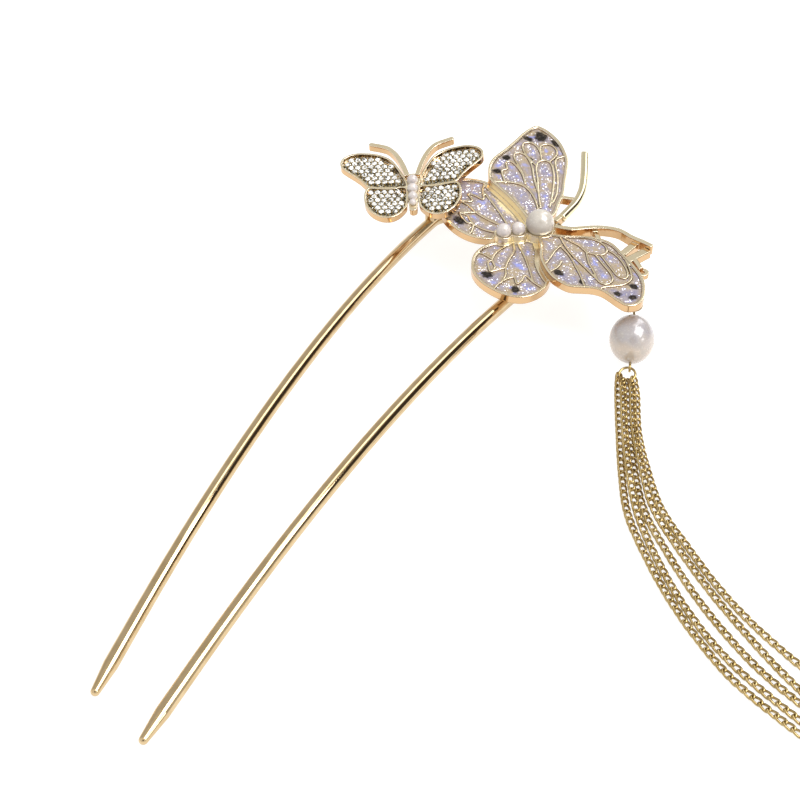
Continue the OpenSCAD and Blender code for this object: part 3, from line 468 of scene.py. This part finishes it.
def pearl(name, light, shade, size, cool_from=None, cool_to=None):
    """Pearl with cloudy tints, whose clouds grow with size. Where heights are given, in millimetres, a warm
    painted reflection of the floor on the lower half turns between them into a cool painted reflection above."""
    m, t, s = material(name)
    at = where(t)
    tint = ramp(t, noise(t, at, 0.55 / size, 3), [(0.38, shade), (0.62, light)])
    if cool_from is not None:
        # Painted reflections: warm, of the floor, below, and cool above.
        rise = maths(t, "ADD", height(t, at), clouds(t, at, 0.4, -0.6, 0.6))
        painted_reflection = mixed(t, span(t, rise, cool_from, cool_to), PEARL_PAINTED_FLOOR_REFLECTION, PEARL_PAINTED_COOL_REFLECTION)
        tint = mixed(t, clouds(t, at, 0.7, 0.35, 0.85), tint, painted_reflection)
    dress(t, s, Base_Color=tint, Roughness=clouds(t, at, 3.0, 0.2, 0.3), Subsurface_Weight=0.2,
          Subsurface_Radius=(1.0, 0.8, 0.7), Subsurface_Scale=0.5 * MM, Specular_IOR_Level=0.7,
          Coat_Weight=0.8, Coat_Roughness=0.06, Coat_IOR=1.65, Sheen_Weight=0.1, Sheen_Tint=PEARL_SHEEN,
          Normal=bump(t, noise(t, at, 3.5, 3), 0.05, FINE_BUMP * MM))
    return m


def enamel(name, wing, spots, cream):
    """Translucent glitter enamel: lilac in the cells, tan beside the veins, with a thin painted shade along
    them and dark spots on the wing.
    """
    m, t, s = material(name)
    at = where(t)
    tint = ramp(t, noise(t, at, 0.30, 3, 0.55), ENAMEL_CLOUDS)
    tint = mixed(t, span(t, noise(t, at, 0.55), 0.54, 0.68, 0.0, 0.9), tint, ENAMEL_BLUE)
    margin = span(t, near_edge(t, ENAMEL_MARGIN_W), 0.05, 0.6, 0.0, 0.9)
    tint = mixed(t, margin, tint, ENAMEL_MARGIN)
    # Painted shade in a thin line beside the veins.
    tint = mixed(t, span(t, near_edge(t, ENAMEL_PAINTED_SHADE_W), 0.2, 0.9, 0.0, 0.6), tint, ENAMEL_PAINTED_SHADE)
    tint = mixed(t, span(t, noise(t, at, 3.0, 4, 0.7), 0.35, 0.75, 0.0, 0.18), tint, ENAMEL_MILK)
    if cream:
        tint = mixed(t, patch(t, at, wing, CREAM_CELL, CREAM_FADE), tint, ENAMEL_CREAM)
    dark = patches(t, at, [(wing, row) for row in spots], SPOT_FADE)
    tint = mixed(t, dark, tint, ramp(t, noise(t, at, 2.4, 3), SPOT_BLACKS))

    # Flecks of glitter, rare in some places and fewer beside the veins and in the spots.
    mosaic = cells(t, at, GLITTER_CELLS)
    lot, hue, gloss = channels(t, mosaic)
    fleck = maths(t, "GREATER_THAN", lot, span(t, noise(t, at, 0.7), 0.42, 0.66, 0.98, 0.86))
    kept_off = maths(t, "MAXIMUM", dark, maths(t, "MULTIPLY", margin, 0.5))
    fleck = maths(t, "MULTIPLY", fleck, span(t, kept_off, 0.15, 0.6, 1.0, 0.0))
    tilt = maths(t, "ADD", maths(t, "MULTIPLY", fleck, 0.6), 0.12)
    dress(t, s, Base_Color=mixed(t, fleck, tint, ramp(t, hue, FLECKS)),
          Metallic=maths(t, "MULTIPLY", fleck, 0.9), Roughness=span(t, gloss, 0.0, 1.0, 0.15, 0.35),
          Normal=tilted(t, mosaic, tilt), Specular_IOR_Level=span(t, dark, 0.0, 1.0, 0.5, 0.1),
          Coat_Weight=span(t, dark, 0.0, 1.0, 0.9, 0.25), Coat_Roughness=0.04, Coat_IOR=1.5,
          Coat_Normal=bump(t, noise(t, at, 0.8), 0.3, ENAMEL_BUMP * MM))
    return m


def crystal():
    """Cut stone, whose facets a mosaic tilts, and paints dark to white as painted reflections."""
    m, t, s = material("crystal")
    mosaic = cells(t, where(t), CRYSTAL_CELLS)
    shade, gloss = channels(t, mosaic)[:2]
    # The facets' painted reflections, dark to white, added to the real ones from their tilted normals.
    dress(t, s, Base_Color=ramp(t, shade, CRYSTAL_PAINTED_REFLECTIONS), Metallic=0.45, IOR=1.8,
          Roughness=span(t, gloss, 0.0, 1.0, 0.02, 0.10), Coat_Weight=1.0, Coat_Roughness=0.02,
          Normal=tilted(t, mosaic, 0.8))
    return m


def floor_material():
    m, t, s = material("paper_floor")
    dress(t, s, Base_Color=ramp(t, noise(t, where(t), 0.02), FLOOR_GREYS), Roughness=0.9,
          Specular_IOR_Level=0.1, Emission_Color=(1, 1, 1), Emission_Strength=FLOOR_GLOW)
    return m


GOLD_FINE = gold("gold_fine", FINE_PALE, FINE_DEEP, 0.08, 0.16)
GOLD_ROD = gold("gold_rod", ROD_PALE, ROD_DEEP, 0.12, 0.20)
PEARL_SEED = pearl("pearl_seed", SEED_LIGHT, SEED_SHADE, 1.0)
CRYSTAL = crystal()
# By a node's name, or by what stands before its last underscore.
FINISH = {
    "fork": gold("gold_wire", WIRE_PALE, WIRE_DEEP, 0.05, 0.10),
    "large_butterfly": gold("gold_cast", CAST_PALE, CAST_DEEP, 0.07, 0.16, grain=0.15, bevel=0.34,
                            satins=[(LARGE_WING["left"], SATIN_LEFT), (LARGE_BODY, SATIN_BODY)]),
    "small_butterfly": gold("gold_small", CAST_PALE, CAST_DEEP, 0.07, 0.16, grain=0.15, bevel=0.26,
                            beds=SMALL_WING.values()),
    "thorax_pearl": pearl("pearl_large", THORAX_LIGHT, THORAX_SHADE, 4.0),
    "drop_pearl": pearl("pearl_drop", DROP_LIGHT, DROP_SHADE, 4.0, cool_from=4.4, cool_to=6.8),
    "abdomen_pearl": PEARL_SEED, "small_pearl": PEARL_SEED, "stones": CRYSTAL,
    "drop_link": GOLD_FINE, "drop_pin": GOLD_FINE, "tassel_ring": GOLD_FINE, "chain": GOLD_FINE}
for wing_name, spots in SPOTS.items():
    side = wing_name.split("_")[1]
    FINISH[f"enamel_{wing_name}"] = enamel(f"enamel_{wing_name}", LARGE_WING[side], spots, side == "left")
for name, o in nodes.items():
    finish = FINISH[name if name in FINISH else name.rsplit("_", 1)[0]]
    if not o.material_slots:
        o.data.materials.append(finish)
    for s in o.material_slots:
        s.material = finish


def piece(name, points, faces, finish):
    """A new piece of the object, from points in metres in the shared frame."""
    mesh = bpy.data.meshes.new(name)
    mesh.from_pydata([tuple(p) for p in points], [], [tuple(int(k) for k in f) for f in faces])
    mesh.validate()
    mesh.polygons.foreach_set("use_smooth", [True] * len(mesh.polygons))
    mesh.materials.append(finish)
    mesh.update()
    o = bpy.data.objects.new(name, mesh)
    bpy.context.scene.collection.objects.link(o)
    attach(o, "root")
    return o


# Chains: curb links along the same lines as the part's tubes

def blend(a, b, c, d, t):
    """From b at 0 to c at 1, on a smooth curve that heeds the neighbours a and d."""
    bend = 2 * a - 5 * b + 4 * c - d
    return 0.5 * (2 * b + (c - a) * t + bend * t * t + (3 * b - 3 * c + d - a) * t ** 3)


def smooth_line(points, steps):
    """Smooth line through the points, with this many steps from each to the next."""
    p = [np.array(q, float) for q in points]
    last = len(p) - 1
    out = []
    for i in range(last):
        a, b, c, d = p[max(i - 1, 0)], p[i], p[i + 1], p[min(i + 2, last)]
        out += [blend(a, b, c, d, k / steps) for k in range(steps)]
    return np.array(out + [p[-1]])


def squared(v):
    """A sine or cosine, bent so that the circle becomes a rounded rectangle."""
    return np.sign(v) * np.abs(v) ** LINK_SQUARE


def link_line():
    """Centre line of one link: a rounded rectangle with a twist, in its own frame."""
    a = np.linspace(0, 2 * math.pi, LINK_STEPS, endpoint=False)
    return np.stack([LINK_HALF * squared(np.cos(a)), LINK_SIDE * squared(np.sin(a)),
                     LINK_TWIST * np.sin(2 * a)], 1)


def sweep_closed(line, r, sides):
    """Points and faces of a closed wire along the line."""
    n = len(line)
    ahead = np.roll(line, -1, 0) - np.roll(line, 1, 0)
    ahead /= np.linalg.norm(ahead, axis=1)[:, None]
    out = line - line.mean(0)
    out -= (out * ahead).sum(1)[:, None] * ahead
    out /= np.linalg.norm(out, axis=1)[:, None]
    up = np.cross(ahead, out)
    a = 2 * math.pi * np.arange(sides) / sides
    around = out[:, None] * np.cos(a)[None, :, None] + up[:, None] * np.sin(a)[None, :, None]
    points = line[:, None] + r * around
    faces = [(i * sides + k, ((i + 1) % n) * sides + k, ((i + 1) % n) * sides + (k + 1) % sides,
              i * sides + (k + 1) % sides) for i in range(n) for k in range(sides)]
    return points.reshape(-1, 3), faces


LINK_POINTS, LINK_FACES = sweep_closed(link_line(), LINK_WIRE / 2, LINK_SIDES)
lean = math.radians(DROP_LEAN)
drop_z = math.hypot(DROP_LONG * math.cos(lean), DROP_D * math.sin(lean)) / 2
drop_frame = Matrix.Translation(DROP_AT) @ Matrix.Rotation(math.radians(DROP_TURN), 4, "Z")
low_eye = Vector((0, -EYE_REACH * math.sin(lean), drop_z - EYE_REACH * math.cos(lean)))
ring_lean = math.asin((low_eye.z - RING_WIRE / 2) / (2 * RING_R))
ring_frame = drop_frame @ Matrix.Translation(low_eye) @ Matrix.Rotation(math.radians(-RING_TURN), 4, "Z")
ring_frame = ring_frame @ Matrix.Rotation(ring_lean, 4, "X")


def ring_point(angle):
    """Point of the tassel ring's wire; 0 is its lowest point, on the table."""
    a = math.radians(angle)
    return ring_frame @ Vector((RING_R * math.sin(a), -RING_R - RING_R * math.cos(a), 0))


tassel_at = np.array(ring_point(0))[:2] + CHAIN_PITCH * np.array(START)
middle_line = tassel_at + TASSEL_L * np.array(MIDDLE, float)


def strand_point(i, k):
    """Point k of strand i, as in the part's source."""
    last = len(MIDDLE) - 1
    h = middle_line[min(k + 1, last)] - middle_line[max(k - 1, 0)]
    h /= np.linalg.norm(h)
    along = {0: ENDS[i][0], last: ENDS[i][1]}.get(k, 0)
    q = middle_line[k] + CHAIN_PITCH * (BESIDE[i][k] * np.array([-h[1], h[0]]) + along * h)
    return q[0], q[1], REST_Z + (STRAND_RISE[k] * CHAIN_PITCH if i % 2 else 0)


def strand(i):
    """The links of strand i, from the ring to its free end, none below the floor."""
    rows = [strand_point(i, k) for k in range(1, len(MIDDLE))]
    line = smooth_line([tuple(ring_point(RING_ANGLES[i]))] + rows, STRAND_STEPS)
    line[:, 2] = np.maximum(line[:, 2], REST_Z)
    far = np.concatenate([[0], np.cumsum(np.linalg.norm(np.diff(line, axis=0), axis=1))])
    count = int((far[-1] - 2 * LINK_HALF) / LINK_PITCH) + 1
    first = LINK_HALF - RING_WIRE / 2 - LINK_WIRE / 2 - FIRST_LINK_BACK
    points, faces = [], []
    for k in range(count):
        s = first + k * LINK_PITCH
        c, lo, hi = (np.array([np.interp(v, far, line[:, j]) for j in range(3)])
                     for v in (s, s - LINK_PITCH / 2, s + LINK_PITCH / 2))
        h = hi - lo
        h /= np.linalg.norm(h)
        side = np.cross([0, 0, 1], h)
        side /= np.linalg.norm(side)
        top = np.cross(h, side)
        roll = ROLL * math.sin(ROLL_PER_LINK * k + ROLL_PER_STRAND * i)
        side, top = (side * math.cos(roll) + top * math.sin(roll),
                     top * math.cos(roll) - side * math.sin(roll))
        link = c + LINK_POINTS @ np.stack([h, side, top])
        link[:, 2] += max(0.0, FLOOR_GAP - link[:, 2].min())
        points.append(link)
        faces += [tuple(k * len(LINK_POINTS) + v for v in f) for f in LINK_FACES]
    points = (np.concatenate(points) - np.array(MID)) * MM
    return piece(f"curb_chain_{i + 1}", points, faces, GOLD_FINE)


for i in range(len(BESIDE)):
    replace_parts(strand(i), f"chain_{i + 1}")


# The grains between the stones

def dome(at, normal, r, h):
    """Low round dome of radius r and height h, standing on at."""
    z = normal.normalized()
    x = z.orthogonal().normalized()
    y = z.cross(x)
    points = [at + z * h]
    for i in range(1, GRAIN_STEPS + 1):
        a = math.pi / 2 * i / GRAIN_STEPS
        for k in range(GRAIN_SIDES):
            b = 2 * math.pi * k / GRAIN_SIDES
            points.append(at + (x * math.cos(b) + y * math.sin(b)) * r * math.sin(a) + z * h * math.cos(a))
    points.append(at)
    around = [(k, (k + 1) % GRAIN_SIDES) for k in range(GRAIN_SIDES)]
    faces = [(0, 1 + k, 1 + m) for k, m in around]
    for i in range(GRAIN_STEPS - 1):
        a, b = 1 + i * GRAIN_SIDES, 1 + (i + 1) * GRAIN_SIDES
        faces += [(a + k, b + k, b + m, a + m) for k, m in around]
    a = 1 + (GRAIN_STEPS - 1) * GRAIN_SIDES
    faces += [(len(points) - 1, a + m, a + k) for k, m in around]
    return points, faces


def islands(o):
    """The points of each separate solid in a node's mesh."""
    n = len(o.data.vertices)
    places = np.array([v.co for v in o.data.vertices])
    parent = list(range(n))

    def root(a):
        while parent[a] != a:
            parent[a] = parent[parent[a]]
            a = parent[a]
        return a

    last_at = {}
    for v, place in enumerate(places):
        key = tuple(np.round(place / MM, 3))
        if key in last_at:
            parent[root(v)] = root(last_at[key])
        last_at[key] = v
    for e in o.data.edges:
        parent[root(e.vertices[0])] = root(e.vertices[1])
    groups = {}
    for v in range(n):
        groups.setdefault(root(v), []).append(v)
    return [places[g] for g in groups.values()]


def gaps_between(stones):
    """Middles of the gaps in the stones' hexagonal grid, in the wing's own millimetres."""
    apart = np.linalg.norm(stones[:, None] - stones[None], axis=2)
    pitch = apart[apart > LEAST_PITCH].min()
    gaps = set()
    for q in stones:
        for k in range(6):
            a = math.radians(30 + 60 * k)
            g = q + pitch / math.sqrt(3) * np.array([math.cos(a), math.sin(a)])
            if np.linalg.norm(stones - g, axis=1).min() > GRAIN_CLEAR * pitch:
                gaps.add((round(float(g[0]), 1), round(float(g[1]), 1)))
    return sorted(gaps)


for side, wing in SMALL_WING.items():
    back = wing.inverted()
    up = wing.to_3x3() @ Vector((0, 0, 1))
    stones = []
    for solid in islands(nodes[f"stones_{side}"]):
        low = min((back @ Vector(p) for p in solid), key=lambda q: q.z)
        stones.append((low.x, low.y))
    points, faces = [], []
    for x, y in gaps_between(np.array(stones)):
        p, f = dome(wing @ Vector((x, y, GRAIN_Z)), up, GRAIN_R * MM, GRAIN_H * MM)
        faces += [tuple(len(points) + v for v in q) for q in f]
        points += p
    piece(f"grains_{side}", points, faces, GOLD_FINE)


# The rod over the left antenna

def rod(name, line, r, finish):
    """Round rod along the line, with a rounded far end; line and radius in metres."""
    last = len(line) - 1
    h = line[last] - line[last - 1]
    h /= np.linalg.norm(h)
    tip = [math.pi / 2 * (k + 1) / ROD_TIP_STEPS for k in range(ROD_TIP_STEPS)]
    centres = list(line) + [line[last] + r * math.sin(a) * h for a in tip]
    radii = [r] * len(line) + [r * max(math.cos(a), ROD_TIP_LEAST) for a in tip]
    points, faces = [], []
    for i, (c, q) in enumerate(zip(centres, radii)):
        ahead = centres[min(i + 1, last)] - centres[max(min(i, last) - 1, 0)]
        ahead /= np.linalg.norm(ahead)
        side = np.cross(ahead, [0, 0, 1])
        side /= np.linalg.norm(side)
        up = np.cross(side, ahead)
        for k in range(ROD_SIDES):
            a = 2 * math.pi * k / ROD_SIDES
            points.append(c + q * (side * math.cos(a) + up * math.sin(a)))
    for i in range(len(centres) - 1):
        for k in range(ROD_SIDES):
            m = (k + 1) % ROD_SIDES
            a, b = i * ROD_SIDES, (i + 1) * ROD_SIDES
            faces.append((a + k, a + m, b + m, b + k))
    faces.append(tuple(range(ROD_SIDES - 1, -1, -1)))
    faces.append(tuple((len(centres) - 1) * ROD_SIDES + k for k in range(ROD_SIDES)))
    return piece(name, points, faces, finish)


antenna = [tuple(LARGE_WING["left"] @ Vector((x * FORE_L, y * FORE_L, ANTENNA_Z))) for x, y in ANTENNA_LEFT]
rod("antenna_rod", smooth_line(antenna, ANTENNA_STEPS) + ANTENNA_AWAY * MM, ANTENNA_R * MM, GOLD_ROD)


# Floor, light and camera

def shown(name, data):
    """A new object in the scene that holds the data."""
    o = bpy.data.objects.new(name, data)
    bpy.context.scene.collection.objects.link(o)
    return o


def aimed(o, direction, distance):
    """The light or camera, standing off from the target in the direction and looking back at it."""
    o.location = TARGET + direction * distance
    o.rotation_mode = "QUATERNION"
    o.rotation_quaternion = direction.to_track_quat("Z", "Y")
    return o


floor = bpy.data.meshes.new("floor")
corners = [(x * FLOOR_HALF, y * FLOOR_HALF, FLOOR_Z) for x, y in ((-1, -1), (1, -1), (1, 1), (-1, 1))]
floor.from_pydata(corners, [], [(0, 1, 2, 3)])
floor.materials.append(floor_material())
shown("floor", floor)

for name, direction, distance, width, length, power in LIGHTS:
    light = bpy.data.lights.new(name, "AREA")
    light.shape = "RECTANGLE"
    light.size, light.size_y = width, length
    light.energy = power
    aimed(shown(name, light), Vector(direction).normalized(), distance)

world = bpy.data.worlds.new("studio")
bpy.context.scene.world = world
world.use_nodes = True
w = world.node_tree
w.nodes.clear()
out = w.nodes.new("ShaderNodeOutputWorld")
sky = w.nodes.new("ShaderNodeBackground")
w.links.new(sky.outputs[0], out.inputs[0])
aim = w.nodes.new("ShaderNodeTexCoord").outputs["Generated"]
aim_xyz = w.nodes.new("ShaderNodeSeparateXYZ")
w.links.new(aim, aim_xyz.inputs[0])
glow = mixed(w, span(w, aim_xyz.outputs["Y"], *TO_FRONT), SKY_BACK, SKY_FRONT)
glow = mixed(w, span(w, aim_xyz.outputs["Z"], *TO_LOW), glow, SKY_LOW)
for direction, full, ended, shade in SKY_ZONES:
    cosine = vectors(w, "DOT_PRODUCT", aim, Vector(direction).normalized())
    glow = mixed(w, span(w, cosine, ended, full), glow, shade)
w.links.new(glow, sky.inputs["Color"])

cam = bpy.data.cameras.new("camera")
cam.sensor_width = SENSOR
cam.lens = SENSOR * FOCAL_PIXELS / PICTURE_PIXELS
cam.clip_start, cam.clip_end = 0.01, 10
away = Vector((math.sin(AZIMUTH) * math.cos(ELEVATION), -math.cos(AZIMUTH) * math.cos(ELEVATION),
               math.sin(ELEVATION)))
bpy.context.scene.camera = aimed(shown("camera", cam), away, CAMERA_FAR * MM)
bpy.context.scene.view_settings.view_transform = "Standard"
bpy.context.scene.view_settings.look = "None"
